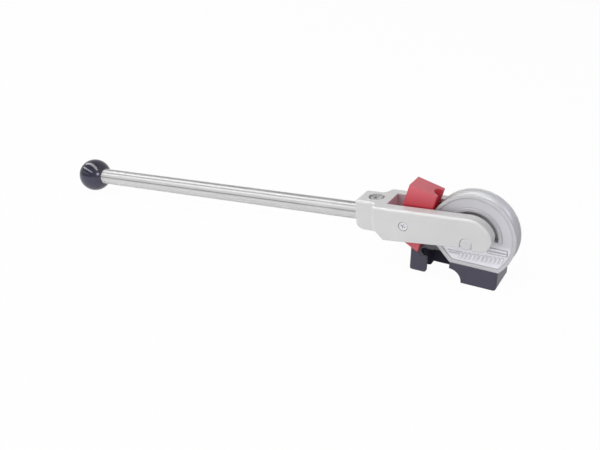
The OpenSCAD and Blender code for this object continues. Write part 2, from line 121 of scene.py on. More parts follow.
class Graph:
    """A material's node tree with short ways to add what the finishes share."""

    BEVEL_SAMPLES = 6
    CREVICE_SAMPLES = 8
    # Cosine between rounded and flat normals on an edge, and where the flat begins
    EDGE_COSINES: Span = (0.75, 0.985)
    # Openness of a tight corner, and of an open face
    CREVICE_OPENNESS: Span = (0.35, 0.95)

    def __init__(self, name: str) -> None:
        """Starts an empty material with a principled surface.

        Args:
            name: The material's name.
        """
        self.material = bpy.data.materials.new(name)
        self.material.use_nodes = True
        self.tree = self.material.node_tree
        self.tree.nodes.clear()
        self.output = self.tree.nodes.new("ShaderNodeOutputMaterial")
        self.surface = self.tree.nodes.new("ShaderNodeBsdfPrincipled")
        self.link(self.surface.outputs["BSDF"], self.output.inputs["Surface"])
        self.place = self.tree.nodes.new("ShaderNodeTexCoord").outputs["Object"]

    def link(self, source: Socket, target: Socket) -> None:
        """Joins two sockets."""
        self.tree.links.new(source, target)

    def set(self, **values: float | Sequence[float]) -> None:
        """Sets constant values on the principled surface.

        Args:
            values: Socket names with underscores for spaces, and their values.
        """
        for name, value in values.items():
            self.surface.inputs[name.replace("_", " ")].default_value = value

    def feed(self, name: str, source: Socket) -> None:
        """Links a varying value to the principled surface."""
        self.link(source, self.surface.inputs[name])

    def mapped(self, stretch: Triple, turn_y: float, centre: Triple) -> Socket:
        """Stretches the object coordinates.

        Args:
            stretch: Scale along each axis.
            turn_y: Turn about Y before the stretch, in radians.
            centre: Point to turn and stretch about, in metres.

        Returns:
            The vector socket of the stretched coordinates.
        """
        moved = self.tree.nodes.new("ShaderNodeMapping")
        moved.inputs["Location"].default_value = tuple(-c for c in centre)
        self.link(self.place, moved.inputs["Vector"])
        turned = self.tree.nodes.new("ShaderNodeMapping")
        turned.inputs["Rotation"].default_value = (0.0, turn_y, 0.0)
        self.link(moved.outputs["Vector"], turned.inputs["Vector"])
        scaled = self.tree.nodes.new("ShaderNodeMapping")
        scaled.inputs["Scale"].default_value = stretch
        self.link(turned.outputs["Vector"], scaled.inputs["Vector"])
        return scaled.outputs["Vector"]

    def noise(self, scale: float, detail: float = 3.0, vector: Socket | None = None) -> Socket:
        """Adds a noise texture.

        Args:
            scale: Waves per metre of the coordinates.
            detail: Octaves of finer noise.
            vector: Coordinates; the object's own by default.

        Returns:
            The noise value's socket.
        """
        node = self.tree.nodes.new("ShaderNodeTexNoise")
        node.inputs["Scale"].default_value = scale
        node.inputs["Detail"].default_value = detail
        self.link(vector or self.place, node.inputs["Vector"])
        return node.outputs["Fac"]

    def pits(self, scale: float) -> Socket:
        """Adds small round cells, as in a cast skin.

        Args:
            scale: Cells per metre.

        Returns:
            A socket with the distance from the middle of a cell.
        """
        node = self.tree.nodes.new("ShaderNodeTexVoronoi")
        node.inputs["Scale"].default_value = scale
        self.link(self.place, node.inputs["Vector"])
        return node.outputs["Distance"]

    def spread(
        self, value: Socket, low: float, high: float, start: float = 0.3, end: float = 0.7
    ) -> Socket:
        """Maps a value from one range to another.

        Args:
            value: The socket to map.
            low: Result at the start of the range.
            high: Result at the end of the range.
            start: Value that gives low.
            end: Value that gives high.

        Returns:
            The mapped socket.
        """
        node = self.tree.nodes.new("ShaderNodeMapRange")
        node.inputs["From Min"].default_value = start
        node.inputs["From Max"].default_value = end
        node.inputs["To Min"].default_value = low
        node.inputs["To Max"].default_value = high
        self.link(value, node.inputs["Value"])
        return node.outputs["Result"]

    def share(self, value: Socket, most: float) -> Socket:
        """Returns a socket with a value from 0 to 1 brought down to 0 to the given share."""
        return self.spread(value, 0.0, most, start=0.0, end=1.0)

    def blend(self, factor: Socket, first: Colour | Socket, second: Colour | Socket) -> Socket:
        """Mixes two colours by a varying factor.

        Args:
            factor: 0 gives the first colour, 1 the second.
            first: A colour or a colour socket.
            second: A colour or a colour socket.

        Returns:
            The mixed colour's socket.
        """
        node = self.tree.nodes.new("ShaderNodeMix")
        node.data_type = "RGBA"
        colours = [s for s in node.inputs if s.type == "RGBA"]
        result = [s for s in node.outputs if s.type == "RGBA"][0]
        self.link(factor, node.inputs["Factor"])
        for socket, value in zip(colours, (first, second)):
            if isinstance(value, tuple):
                socket.default_value = (*value, 1.0)
            else:
                self.link(value, socket)
        return result

    def clouded(self, value: Socket, colour: Colour, tints: Span) -> Socket:
        """Varies a colour between a darker and a paler tone.

        Args:
            value: Noise that chooses the tone.
            colour: The colour to vary.
            tints: Factors of the darkest and the palest tone.

        Returns:
            The varied colour's socket.
        """
        dark, pale = tints
        return self.blend(self.spread(value, 0.0, 1.0), shade(colour, dark), shade(colour, pale))

    def greater(self, first: Socket, second: Socket) -> Socket:
        """Returns a socket with the greater of two values."""
        return combine(self.tree, "MAXIMUM", first, second)

    def rounded(self, radius: float) -> Socket:
        """Rounds the solid's sharp edges off in the shading.

        Args:
            radius: Radius of the rounding in metres.

        Returns:
            The rounded normal's socket.
        """
        node = self.tree.nodes.new("ShaderNodeBevel")
        node.samples = self.BEVEL_SAMPLES
        node.inputs["Radius"].default_value = radius
        return node.outputs["Normal"]

    def edges(self, radius: float) -> Socket:
        """Finds the strip beside sharp edges, where paint thins and where painted highlights and painted
        shade lines go.

        Args:
            radius: Width of the strip in metres.

        Returns:
            A socket that is 1 on an edge and 0 away from it.
        """
        geometry = self.tree.nodes.new("ShaderNodeNewGeometry")
        dot = self.tree.nodes.new("ShaderNodeVectorMath")
        dot.operation = "DOT_PRODUCT"
        self.link(self.rounded(radius), dot.inputs[0])
        self.link(geometry.outputs["Normal"], dot.inputs[1])
        return self.spread(dot.outputs["Value"], 1.0, 0.0, *self.EDGE_COSINES)

    def around(self, vector: Socket) -> Socket:
        """Measures the angle round the X axis of the given coordinates.

        Args:
            vector: Coordinates whose X axis is the bar's own.

        Returns:
            A socket from 0 to 1 for one turn, 0.5 towards -Y and rising upwards.
        """
        split = self.tree.nodes.new("ShaderNodeSeparateXYZ")
        self.link(vector, split.inputs["Vector"])
        front = combine(self.tree, "MULTIPLY", split.outputs["Y"], -1.0)
        angle = combine(self.tree, "ARCTAN2", split.outputs["Z"], front)
        return self.spread(angle, 0.0, 1.0, -math.pi, math.pi)

    def along(self, axis: str) -> Socket:
        """Finds the place along one axis of the part's frame.

        Args:
            axis: X, Y or Z.

        Returns:
            The place's socket, in metres.
        """
        split = self.tree.nodes.new("ShaderNodeSeparateXYZ")
        self.link(self.place, split.inputs["Vector"])
        return split.outputs[axis]

    def ramp(self, value: Socket, stops: Sequence[tuple[float, Colour]]) -> Socket:
        """Turns a value into a colour by a row of stops.

        Args:
            value: Where on the row to look.
            stops: Positions from 0 to 1 and their colours.

        Returns:
            The colour's socket.
        """
        node = self.tree.nodes.new("ShaderNodeValToRGB")
        row = node.color_ramp.elements
        for element, (place, colour) in zip((row[0], row[1]), (stops[0], stops[-1])):
            element.position = place
            element.color = (*colour, 1.0)
        for place, colour in stops[1:-1]:
            row.new(place).color = (*colour, 1.0)
        self.link(value, node.inputs["Fac"])
        return node.outputs["Color"]

    def crevices(self, reach: float) -> Socket:
        """Finds inner corners, where shade is painted.

        Args:
            reach: How far from the corner the dirt spreads, in metres.

        Returns:
            A socket that is 1 in a tight corner and 0 on open faces.
        """
        node = self.tree.nodes.new("ShaderNodeAmbientOcclusion")
        node.samples = self.CREVICE_SAMPLES
        node.inputs["Distance"].default_value = reach
        return self.spread(node.outputs["AO"], 1.0, 0.0, *self.CREVICE_OPENNESS)

    def relief(
        self, height: Socket, depth: float, strength: float, normal: Socket | None = None
    ) -> Socket:
        """Turns a height into a bumped normal.

        Args:
            height: The height's socket.
            depth: Height of the bumps in metres.
            strength: How strongly the bumps turn the normal.
            normal: Normal to start from.

        Returns:
            The bumped normal's socket.
        """
        node = self.tree.nodes.new("ShaderNodeBump")
        node.inputs["Strength"].default_value = strength
        node.inputs["Distance"].default_value = depth
        self.link(height, node.inputs["Height"])
        if normal is not None:
            self.link(normal, node.inputs["Normal"])
        return node.outputs["Normal"]


class Finish(ABC):
    """A finish that can make its material."""

    roughness: float
    smoother: float
    rougher: float

    @abstractmethod
    def build(self) -> bpy.types.Material:
        """Makes the material."""

    def roughen(self, g: Graph, value: Socket) -> None:
        """Varies the roughness with a noise, between the finish's smoothest and roughest."""
        smoothest, roughest = self.roughness - self.smoother, self.roughness + self.rougher
        g.feed("Roughness", g.spread(value, smoothest, roughest))


@dataclass(frozen=True)
class PaintFinish(Finish):
    """Satin paint on a casting, with a fine skin, faint clouding and paler edges as edge wear and painted
    highlight, and, where set, painted shade in corners and painted light at top and foot.
    """

    name: str
    colour: Colour
    roughness: float = 0.4
    smoother: float = 0.05
    rougher: float = 0.06
    gloss: float = 0.5
    coat: float = 0.0
    coat_roughness: float = 0.12
    clouding: float = 0.06
    cloud_scale: float = 22.0
    skin_scale: float = 1400.0
    skin_depth: float = 0.06 * MM
    skin_strength: float = 0.25
    fleck: float = 0.12
    fleck_fineness: float = 1.7
    fleck_range: Span = (0.45, 0.8)
    fleck_tint: float = 1.25
    edge_radius: float = 0.8 * MM
    edge_share: float = 0.5
    edge_wear_and_painted_light: float = 1.12
    # Painted shade in inner corners: its share, its reach and its tint
    crevice_shade: float = 0.0
    crevice_shade_reach: float = 2.5 * MM
    crevice_shade_tint: float = 0.3
    # Painted light: paler paint at the top, as a sheen of the light from above, and at the foot, and the
    # heights between which it comes in
    painted_light: Colour | None = None
    painted_light_top: Span = (0.0, 0.0)
    painted_light_foot: Span = (0.0, 0.0)

    def build(self) -> bpy.types.Material:
        """Makes the paint's material.

        Returns:
            The material.
        """
        g = Graph(self.name)
        cloud = g.noise(self.cloud_scale, detail=4.0)
        tone = g.clouded(cloud, self.colour, (1.0 - self.clouding, 1.0 + self.clouding))
        # Painted light at the top and the foot
        if self.painted_light:
            top = g.spread(g.along("Z"), 0.0, 1.0, *self.painted_light_top)
            foot = g.spread(g.along("Z"), 1.0, 0.0, *self.painted_light_foot)
            tone = g.blend(g.greater(top, foot), tone, self.painted_light)
        specks = g.noise(self.skin_scale * self.fleck_fineness, detail=2.0)
        tone = g.blend(
            g.spread(specks, 0.0, self.fleck, *self.fleck_range), tone, shade(self.colour, self.fleck_tint)
        )
        # Paler edges: edge wear and painted highlight
        edge = g.share(g.edges(self.edge_radius), self.edge_share)
        tone = g.blend(edge, tone, shade(self.colour, self.edge_wear_and_painted_light))
        # Painted shade in inner corners
        if self.crevice_shade:
            corner_shade = g.share(g.crevices(self.crevice_shade_reach), self.crevice_shade)
            tone = g.blend(corner_shade, tone, shade(self.colour, self.crevice_shade_tint))
        g.feed("Base Color", tone)
        self.roughen(g, cloud)
        skin = g.noise(self.skin_scale, detail=2.0)
        g.feed("Normal", g.relief(skin, self.skin_depth, self.skin_strength, g.rounded(self.edge_radius)))
        g.set(Specular_IOR_Level=self.gloss, Coat_Weight=self.coat, Coat_Roughness=self.coat_roughness)
        return g.material


@dataclass(frozen=True)
class CastFinish(Finish):
    """Silver-painted casting: a slightly metallic skin with small pits and blurred tone, painted shade in its
    corners and on the side towards the handle, and tinted edges as edge wear and painted light.
    """

    name: str
    colour: Colour
    roughness: float = 0.36
    smoother: float = 0.06
    rougher: float = 0.08
    metallic: float = 0.35
    cloud_scale: float = 30.0
    cloud_tints: Span = (0.93, 1.05)
    dust: float = 0.2
    dust_scale: float = 2600.0
    dust_range: Span = (0.5, 0.8)
    dust_tint: float = 1.2
    pit_scale: float = 900.0
    pit_depth: float = 0.08 * MM
    pit_strength: float = 0.18
    edge_radius: float = 0.9 * MM
    edge_share: float = 0.6
    edge_wear_and_painted_light: float = 1.18
    # Painted shade in inner corners: its share, its reach and its tint
    crevice_shade: float = 0.6
    crevice_shade_reach: float = 1.5 * MM
    crevice_shade_tint: float = 0.25
    # Painted shade and reflection of the fork and shoe: tone of the side towards the handle, and the places
    # along X between which it ends
    handle_side_shade: Colour | None = None
    handle_side_reach: Span = (-32.0 * MM, 30.0 * MM)
    # Tint of the foot, and the heights between which it ends
    rubbed: float = 1.0
    rub_reach: Span = (44.0 * MM, 49.0 * MM)

    def build(self) -> bpy.types.Material:
        """Makes the casting's material.

        Returns:
            The material.
        """
        g = Graph(self.name)
        cloud = g.noise(self.cloud_scale, detail=5.0)
        tone = g.clouded(cloud, self.colour, self.cloud_tints)
        # Painted shade and reflection on the side towards the handle
        if self.handle_side_shade:
            dull = g.spread(g.along("X"), 1.0, 0.0, *self.handle_side_reach)
            tone = g.blend(dull, tone, self.handle_side_shade)
        if self.rubbed != 1.0:
            foot = g.spread(g.along("Z"), 1.0, 0.0, *self.rub_reach)
            tone = g.blend(foot, tone, shade(self.colour, self.rubbed))
        dust = g.spread(g.noise(self.dust_scale, detail=2.0), 0.0, self.dust, *self.dust_range)
        tone = g.blend(dust, tone, shade(self.colour, self.dust_tint))
        # Tinted edges: edge wear, with painted highlight where paler and a painted shade line where darker
        edge = g.share(g.edges(self.edge_radius), self.edge_share)
        tone = g.blend(edge, tone, shade(self.colour, self.edge_wear_and_painted_light))
        # Painted shade in inner corners
        corner_shade = g.share(g.crevices(self.crevice_shade_reach), self.crevice_shade)
        tone = g.blend(corner_shade, tone, shade(self.colour, self.crevice_shade_tint))
        g.feed("Base Color", tone)
        self.roughen(g, cloud)
        pits = g.pits(self.pit_scale)
        g.feed("Normal", g.relief(pits, self.pit_depth, self.pit_strength, g.rounded(self.edge_radius)))
        g.set(Metallic=self.metallic)
        return g.material


@dataclass(frozen=True)
class MetalFinish(Finish):
    """Bare metal with the fine lines of its making."""

    name: str
    colour: Colour
    grain: Grain
    axis: Axis = Axis.ACROSS
    roughness: float = 0.28
    smoother: float = 0.06
    rougher: float = 0.1
    metallic: float = 1.0
    contrast: float = 0.12
    pale_share: float = 0.6
    lines: float = 1500.0
    broad_lines: float = 0.18
    line_stretch: float = 0.02
    line_share: float = 0.5
    line_depth: float = 0.02 * MM
    line_strength: float = 0.2
    edge_radius: float = 0.4 * MM
    turn_y: float = 0.0
    centre: Triple = (0.0, 0.0, 0.0)

    def line_vector(self, g: Graph) -> Socket:
        """Coordinates that run slowly along the lines and quickly across them.

        Args:
            g: The material's graph.

        Returns:
            The coordinates' socket.
        """
        on_axis, off_axis = self.line_stretch, 1.0
        if self.grain is Grain.TURNED:
            on_axis, off_axis = off_axis, on_axis
        stretch = tuple(on_axis if a else off_axis for a in self.axis.value)
        return g.mapped(stretch, self.turn_y, self.centre)

    def build(self) -> bpy.types.Material:
        """Makes the metal's material.

        Returns:
            The material.
        """
        g = Graph(self.name)
        vector = self.line_vector(g)
        fine = g.noise(self.lines, vector=vector)
        broad = g.noise(self.lines * self.broad_lines, detail=2.0, vector=vector)
        tone = g.clouded(broad, self.colour, (1.0 - self.contrast, 1.0 + self.contrast * self.pale_share))
        dark = shade(self.colour, 1.0 - self.contrast / 2.0)
        tone = g.blend(g.spread(fine, 0.0, self.line_share), tone, dark)
        g.feed("Base Color", tone)
        self.roughen(g, fine)
        g.feed("Normal", g.relief(fine, self.line_depth, self.line_strength, g.rounded(self.edge_radius)))
        g.set(Metallic=self.metallic)
        return g.material


@dataclass(frozen=True)
class TubeFinish(Finish):
    """Bright drawn tube: bands of painted reflection and darker die lines that run its whole length."""

    name: str
    colour: Colour
    centre: Triple
    turn_y: float
    roughness: float = 0.42
    smoother: float = 0.05
    rougher: float = 0.07
    metallic: float = 0.05
    lines: float = 800.0
    line_stretch: float = 0.004
    line_share: float = 0.3
    line_range: Span = (0.45, 0.75)
    line_tint: float = 0.8
    line_depth: float = 0.01 * MM
    line_strength: float = 0.05
    smear: float = 0.12
    smear_scale: float = 35.0
    smear_range: Span = (0.4, 0.7)
    smear_tint: float = 1.15
    # Painted reflection of the studio: degrees round the tube, from the front upwards, and the tone there
    reflection_bands: tuple[Span, ...] = (
        (-178.0, 0.86),
        (-150.0, 1.0),
        (-128.0, 0.78),
        (-100.0, 1.02),
        (-60.0, 0.96),
        (-37.0, 0.92),
        (-26.0, 0.98),
        (0.0, 1.0),
        (8.0, 0.88),
        (13.5, 0.32),
        (16.5, 0.36),
        (21.0, 0.72),
        (31.0, 0.72),
        (40.0, 0.92),
        (44.5, 0.84),
        (49.5, 0.34),
        (52.5, 0.36),
        (56.5, 0.7),
        (62.0, 0.98),
        (68.0, 0.8),
        (76.0, 0.38),
        (84.0, 0.3),
        (100.0, 0.7),
        (112.0, 0.8),
        (140.0, 1.0),
        (164.0, 0.8),
        (178.0, 0.86),
    )

    def build(self) -> bpy.types.Material:
        """Makes the tube's material.

        Returns:
            The material.
        """
        g = Graph(self.name)
        # Painted reflection of the studio round the tube
        stops = [(0.5 + angle / 360.0, shade(self.colour, level)) for angle, level in self.reflection_bands]
        tone = g.ramp(g.around(g.mapped((1.0, 1.0, 1.0), self.turn_y, self.centre)), stops)
        drawn_out = g.mapped((self.line_stretch, 1.0, 1.0), self.turn_y, self.centre)
        fine = g.noise(self.lines, vector=drawn_out)
        die_lines = g.spread(fine, 0.0, self.line_share, *self.line_range)
        tone = g.blend(die_lines, tone, shade(self.colour, self.line_tint))
        smear = g.noise(self.smear_scale, detail=4.0)
        tone = g.blend(
            g.spread(smear, 0.0, self.smear, *self.smear_range), tone, shade(self.colour, self.smear_tint)
        )
        g.feed("Base Color", tone)
        self.roughen(g, smear)
        g.feed("Normal", g.relief(fine, self.line_depth, self.line_strength))
        g.set(Metallic=self.metallic)
        return g.material


@dataclass(frozen=True)
class KnobFinish(Finish):
    """Polished moulded knob: deep colour under a hard gloss, paler below as a painted reflection of the
    floor, and paler on its inner side.
    """

    name: str
    colour: Colour
    # Paler colour of the lower part, a painted reflection of the floor, and of the inner side
    reflection_and_pale_side: Colour
    centre: Triple
    roughness: float = 0.09
    smoother: float = 0.01
    rougher: float = 0.03
    gloss: float = 0.36
    pale_part_gloss: float = 0.56
    flow_scale: float = 60.0
    deep_tints: Span = (0.8, 1.35)
    pale_part_tints: Span = (0.88, 1.12)
    reflection_rise: float = 4.5 * MM
    rise_fade: float = 1.2 * MM
    pale_side: float = 12.0 * MM
    side_fade: float = 6.0 * MM
    side_share: float = 0.7
    smear_scale: float = 240.0
    ripple_scale: float = 180.0
    ripple_depth: float = 0.03 * MM
    ripple_strength: float = 0.008

    def build(self) -> bpy.types.Material:
        """Makes the knob's material.

        Returns:
            The material.
        """
        g = Graph(self.name)
        flow = g.noise(self.flow_scale, detail=4.0)
        deep = g.clouded(flow, self.colour, self.deep_tints)
        pale = g.clouded(flow, self.reflection_and_pale_side, self.pale_part_tints)
        # Paler lower part, a painted reflection of the floor, and paler inner side
        rise = self.centre[2] + self.reflection_rise
        low = g.spread(g.along("Z"), 1.0, 0.0, rise - self.rise_fade, rise + self.rise_fade)
        side = self.centre[0] + self.pale_side
        inner = g.spread(g.along("X"), 0.0, self.side_share, side - self.side_fade, side + self.side_fade)
        reflection_and_pale_side = g.greater(low, inner)
        g.feed("Base Color", g.blend(reflection_and_pale_side, deep, pale))
        g.feed("Specular IOR Level", g.spread(reflection_and_pale_side, self.gloss, self.pale_part_gloss, start=0.0, end=1.0))
        smear = g.noise(self.smear_scale, detail=5.0)
        self.roughen(g, smear)
        ripple = g.noise(self.ripple_scale, detail=2.0)
        g.feed("Normal", g.relief(ripple, self.ripple_depth, self.ripple_strength))
        return g.material


@dataclass(frozen=True)
class Lever:
    """The lever's own frame: its pivot, its resting tilt and how high the handle lies in it."""

    pivot: Vector
    rest: float
    rise: float

    def world(self, along: float, across: float, up: float) -> Vector:
        """Turns a point of the lever's frame into the part's frame.

        Args:
            along: Distance from the pivot towards the knob.
            across: Distance along Y.
            up: Distance square to the lever.

        Returns:
            The point in metres.
        """
        x = -along * math.cos(self.rest) - up * math.sin(self.rest)
        z = -along * math.sin(self.rest) + up * math.cos(self.rest)
        return self.pivot + Vector((x, across, z))

    def along(self, point: Vector) -> float:
        """Returns how far a point lies from the pivot along the lever, in metres."""
        reach = point - self.pivot
        return -reach.x * math.cos(self.rest) - reach.z * math.sin(self.rest)


def mesh_object(name: str, build: Callable[[bmesh.types.BMesh], None]) -> bpy.types.Object:
    """Makes an object from mesh code.

    Args:
        name: The piece's name.
        build: Fills the empty mesh.

    Returns:
        The linked object.
    """
    mesh = bpy.data.meshes.new(name)
    bm = bmesh.new()
    build(bm)
    bmesh.ops.recalc_face_normals(bm, faces=bm.faces)
    bm.to_mesh(mesh)
    bm.free()
    obj = bpy.data.objects.new(name, mesh)
    bpy.context.scene.collection.objects.link(obj)
    return obj


def dress(node: str, material: bpy.types.Material) -> None:
    """Gives a solid one material.

    Args:
        node: Name of the solid.
        material: What it is finished with.
    """
    obj = frame["nodes"][node]
    obj.data.materials.clear()
    obj.data.materials.append(material)
    LOG.info("dressed %s with %s", node, material.name)


def dress_by_face(
    node: str, materials: Sequence[bpy.types.Material], choose: Callable[[Vector, Vector], int]
) -> None:
    """Gives each face of a solid one of several materials.

    Args:
        node: Name of the solid.
        materials: The materials, in the order that choose counts them.
        choose: From a face's centre and normal to the number of its material.
    """
    obj = frame["nodes"][node]
    obj.data.materials.clear()
    for material in materials:
        obj.data.materials.append(material)
    for face in obj.data.polygons:
        face.material_index = choose(face.center, face.normal)
    LOG.info("dressed %s with %d finishes", node, len(materials))


@dataclass(frozen=True)
class RaisedBar:
    """One cast bar with round ends that stands up from the former's face, in millimetres."""

    start: Span
    end: Span
    width: float
    seat: float = 8.7
    height: float = 0.7
    shoulder: float = 0.2
    sunk: float = 0.1
    steps: int = 7

    def ring(self, inset: float) -> list[Span]:
        """Draws the bar's outline.

        Args:
            inset: How far inside the full width the outline runs, in millimetres.

        Returns:
            Points along the face and up it, in millimetres.
        """
        ax, az = self.start
        bx, bz = self.end
        heading = math.atan2(bz - az, bx - ax)
        radius = self.width / 2.0 - inset
        points = []
        for (x, z), first in (((bx, bz), -0.5), ((ax, az), 0.5)):
            for step in range(self.steps + 1):
                angle = heading + math.pi * (first + step / self.steps)
                points.append((x + radius * math.cos(angle), z + radius * math.sin(angle)))
        return points

    def add(self, bm: bmesh.types.BMesh, pivot: Vector, side: int) -> None:
        """Adds the bar to a mesh.

        Args:
            bm: The mesh.
            pivot: The former's middle.
            side: -1 for the near face and 1 for the far one.
        """
        levels = ((0.0, -self.sunk), (0.0, self.height - self.shoulder), (self.shoulder, self.height))
        rings = []
        for inset, rise in levels:
            y = side * (self.seat + rise) * MM
            rings.append([bm.verts.new((pivot.x + x * MM, y, pivot.z + z * MM)) for x, z in self.ring(inset)])
        for low, high in zip(rings, rings[1:]):
            for i in range(len(low)):
                j = (i + 1) % len(low)
                bm.faces.new((low[i], low[j], high[j], high[i]))
        bm.faces.new(rings[-1])


@dataclass(frozen=True)
class CastRelief:
    """Plain relief of the former's faces: ribs, dots and ridges, in millimetres from the pivot."""

    rib_count: int = 11
    rib_start: Span = (-9.5, -24.6)
    rib_pitch: float = 4.05
    rib_climb: float = 0.085
    rib_lean: Span = (1.5, 5.4)
    rib_width: float = 2.0
    rib_height: float = 0.8
    dot_rows: int = 2
    dot_count: int = 6
    dot_start: Span = (-21.0, -18.6)
    dot_pitch: float = 2.3
    dot_row_step: Span = (1.1, -2.4)
    dot_length: float = 0.7
    dot_width: float = 1.1
    ridge_rises: Span = (-7.9, -11.0)
    ridge_ends: Span = (18.2, 35.2)
    ridge_width: float = 1.5
    ridge_seat: float = 9.5
    ridge_height: float = 0.6

    def ribs(self) -> list[RaisedBar]:
        """Lays out the slanted ribs along the foot of the field.

        Returns:
            The ribs, from left to right.
        """
        bars = []
        for i in range(self.rib_count):
            x = self.rib_start[0] + self.rib_pitch * i
            z = self.rib_start[1] + self.rib_climb * self.rib_pitch * i
            top = (x + self.rib_lean[0], z + self.rib_lean[1])
            bars.append(RaisedBar((x, z), top, self.rib_width, height=self.rib_height))
        return bars

    def dots(self) -> list[RaisedBar]:
        """Lays out the rows of dots in the field's left corner.

        Returns:
            The dots, row by row.
        """
        bars = []
        for row in range(self.dot_rows):
            for i in range(self.dot_count):
                x = self.dot_start[0] + self.dot_pitch * i + self.dot_row_step[0] * row
                z = self.dot_start[1] + self.dot_row_step[1] * row
                bars.append(RaisedBar((x, z), (x + self.dot_length, z), self.dot_width))
        return bars

    def ridges(self) -> list[RaisedBar]:
        """Lays out the two ridges of the index bar.

        Returns:
            The ridges, from the top down.
        """
        left, right = self.ridge_ends
        return [
            RaisedBar((left, z), (right, z), self.ridge_width, seat=self.ridge_seat, height=self.ridge_height)
            for z in self.ridge_rises
        ]

    def build(self, name: str, pivot: Vector, side: int) -> bpy.types.Object:
        """Casts the relief on one face of the former.

        Args:
            name: The piece's name.
            pivot: The former's middle.
            side: -1 for the near face and 1 for the far one.

        Returns:
            The relief as one object.
        """
        bars = self.ribs() + self.dots() + self.ridges()

        def fill(bm: bmesh.types.BMesh) -> None:
            """Adds every bar to the mesh."""
            for bar in bars:
                bar.add(bm, pivot, side)

        LOG.info("built %s of %d bars", name, len(bars))
        return mesh_object(name, fill)


@dataclass
class Stand:
    """Base, former and pivot: what stays still."""

    pivot: Vector
    relief: CastRelief = CastRelief()
    former_half: float = 9.5 * MM
    lip: float = 1.6 * MM
    groove_floor: float = 36.4 * MM
    groove_low: float = -30.0 * MM
    recess_r: float = 26.5 * MM
    recess_low: float = -0.25 * MM
    field_y: float = 8.7 * MM
    field_slack: float = 0.05 * MM
    slack: float = 0.2 * MM
    hollow_left: float = -52.0 * MM
    hollow_right: float = -5.8 * MM
    hollow_front: float = -9.5 * MM
    hollow_back: float = 30.5 * MM
    seat_low: float = 0.85
    seat_high: float = 0.92
    # Base paint: paler edges as edge wear and painted highlight, and painted shade in its corners
    base_paint: PaintFinish = PaintFinish(
        "satin_black_base",
        (0.047, 0.044, 0.072),
        roughness=0.42,
        clouding=0.1,
        skin_scale=1100.0,
        edge_radius=1.8 * MM,
        edge_wear_and_painted_light=1.4,
        crevice_shade=0.7,
    )
    # Painted shade: near-black dull paint on the walls of the hollow between leg and block
    hollow_shade_paint: PaintFinish = PaintFinish(
        "painted_shade_black_hollow", (0.013, 0.012, 0.025), roughness=0.5, clouding=0.3, gloss=0.15
    )
    # Painted light: paler paint on the seat under the shoe, which lies in the shoe's shade
    seat_light_paint: PaintFinish = PaintFinish("painted_light_seat", (0.1, 0.097, 0.15), roughness=0.45, clouding=0.2)
    # Former finishes: painted shade in the corners, tinted edges as edge wear, painted highlight and painted
    # shade line, and painted shade and reflection on the side towards the handle
    silver: CastFinish = CastFinish(
        "silver_former",
        (0.585, 0.58, 0.615),
        metallic=0.25,
        edge_wear_and_painted_light=0.68,
        crevice_shade=0.85,
        crevice_shade_reach=2.4 * MM,
        handle_side_shade=(0.56, 0.567, 0.563),
    )
    polished: CastFinish = CastFinish(
        "worn_groove",
        (0.585, 0.583, 0.615),
        roughness=0.33,
        metallic=0.1,
        pit_strength=0.03,
        handle_side_shade=(0.57, 0.577, 0.573),
    )
    pale: CastFinish = CastFinish(
        "pale_field",
        (0.64, 0.636, 0.67),
        roughness=0.5,
        metallic=0.15,
        pit_strength=0.3,
        crevice_shade=0.75,
        handle_side_shade=(0.532, 0.528, 0.552),
        rubbed=1.35,
    )
    # Painted shade: darker dull paint inside the former's recess
    recess: PaintFinish = PaintFinish("recess_painted_shade", (0.5, 0.5, 0.51), roughness=0.6, clouding=0.15)
    pin: MetalFinish = MetalFinish(
        "ground_pin", (0.64, 0.64, 0.65), Grain.TURNED, Axis.ACROSS, roughness=0.4, metallic=0.5
    )
    ring: MetalFinish = MetalFinish("turned_spacer", (0.5, 0.5, 0.52), Grain.TURNED, Axis.ACROSS)
    screw: MetalFinish = MetalFinish(
        "dark_foot_screw", (0.12, 0.12, 0.13), Grain.TURNED, Axis.UPRIGHT, roughness=0.4
    )
    dowel: MetalFinish = MetalFinish("ground_dowel", (0.55, 0.55, 0.56), Grain.TURNED, Axis.UPRIGHT)

    def base_face(self, centre: Vector, normal: Vector) -> int:
        """Chooses the base's finish for one face.

        Args:
            centre: The face's middle.
            normal: The face's outward normal.

        Returns:
            0 for paint, 1 for the walls of the hollow between leg and block, which carry painted shade, 2 for
            the seat under the shoe, which carries painted light.
        """
        if self.seat_low < normal.z < self.seat_high:
            return 2
        across = self.hollow_left < centre.x < self.hollow_right
        deep = self.hollow_front < centre.y < self.hollow_back
        return int(across and deep and abs(normal.z) < self.seat_high)

    def former_face(self, centre: Vector, normal: Vector) -> int:
        """Chooses the former's finish for one face.

        Args:
            centre: The face's middle.
            normal: The face's outward normal.

        Returns:
            0 for paint, 1 for the groove, 2 for the recess, which carries painted shade, 3 for the sunk
            field.
        """
        x, z = centre.x - self.pivot.x, centre.z - self.pivot.z
        radius = math.hypot(x, z)
        depth = abs(centre.y)
        outside = radius > self.groove_floor - self.slack and z > self.groove_low
        if outside and depth < self.former_half - self.lip:
            return 1
        inside = radius < self.recess_r + self.slack and z > self.recess_low - self.slack
        if inside and depth < self.field_y - self.slack:
            return 2
        return 3 if abs(depth - self.field_y) < self.field_slack else 0

    def build_relief(self, material: bpy.types.Material) -> None:
        """Casts the relief on both faces of the former.

        Args:
            material: The field's finish.
        """
        for side, name in ((-1, "near_relief"), (1, "far_relief")):
            piece = self.relief.build(name, self.pivot, side)
            piece.data.materials.append(material)
            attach(piece, Body.STAND.value)

    def build(self) -> None:
        """Dresses the solids of the stand and adds the cast relief."""
        paints = [self.base_paint.build(), self.hollow_shade_paint.build(), self.seat_light_paint.build()]
        dress_by_face("base", paints, self.base_face)
        pale = self.pale.build()
        finishes = [self.silver.build(), self.polished.build(), self.recess.build(), pale]
        dress_by_face("former", finishes, self.former_face)
        self.build_relief(pale)
        dress("former_screw", self.screw.build())
        dress("former_dowels", self.dowel.build())
        dress("pivot_pin", self.pin.build())
        dress("pivot_spacers", self.ring.build())


